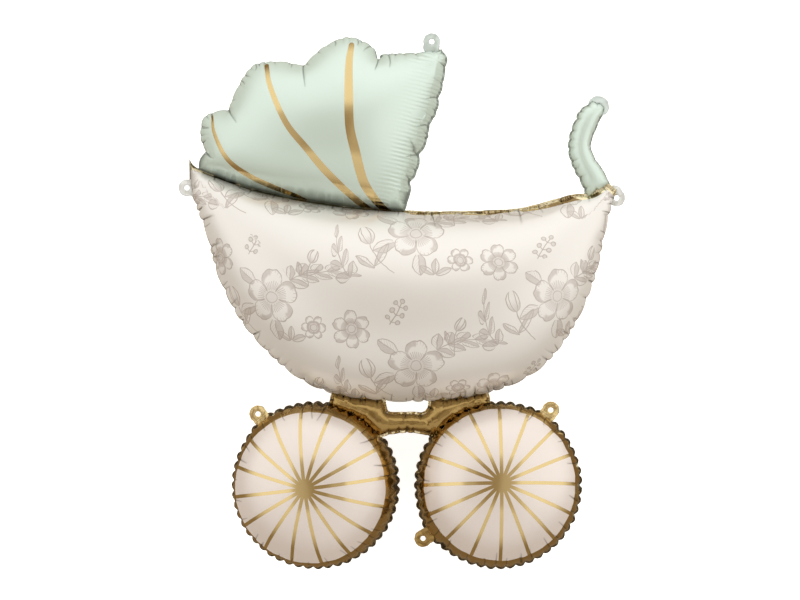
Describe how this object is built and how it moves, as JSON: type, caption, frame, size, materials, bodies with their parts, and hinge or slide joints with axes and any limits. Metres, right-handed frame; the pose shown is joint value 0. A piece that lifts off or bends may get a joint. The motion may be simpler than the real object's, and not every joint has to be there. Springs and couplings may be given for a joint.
{
  "type": "baby carriage foil balloon",
  "caption": "Sealed foil balloon shaped like a baby carriage, blown up and lying on its back: hood, basket, handle, axle and wheels in one film envelope",
  "frame": {"origin": "on the surface that the balloon lies on, below the middle of its bounding box", "axes": "+X from the hood's back towards the handle, +Y from the wheels towards the hood, +Z out of the front sheet, up while it lies"},
  "size_m": [0.7376, 0.886, 0.2103],
  "materials": {
    "printed_foil": "satin metallised plastic film, printed cream on the basket, mint on the hood and handle and bright gold on the wheels, axle and hood ribs"
  },
  "bodies": {
    "root": {"carriage_balloon": "printed_foil"}
  },
  "joints": []
}
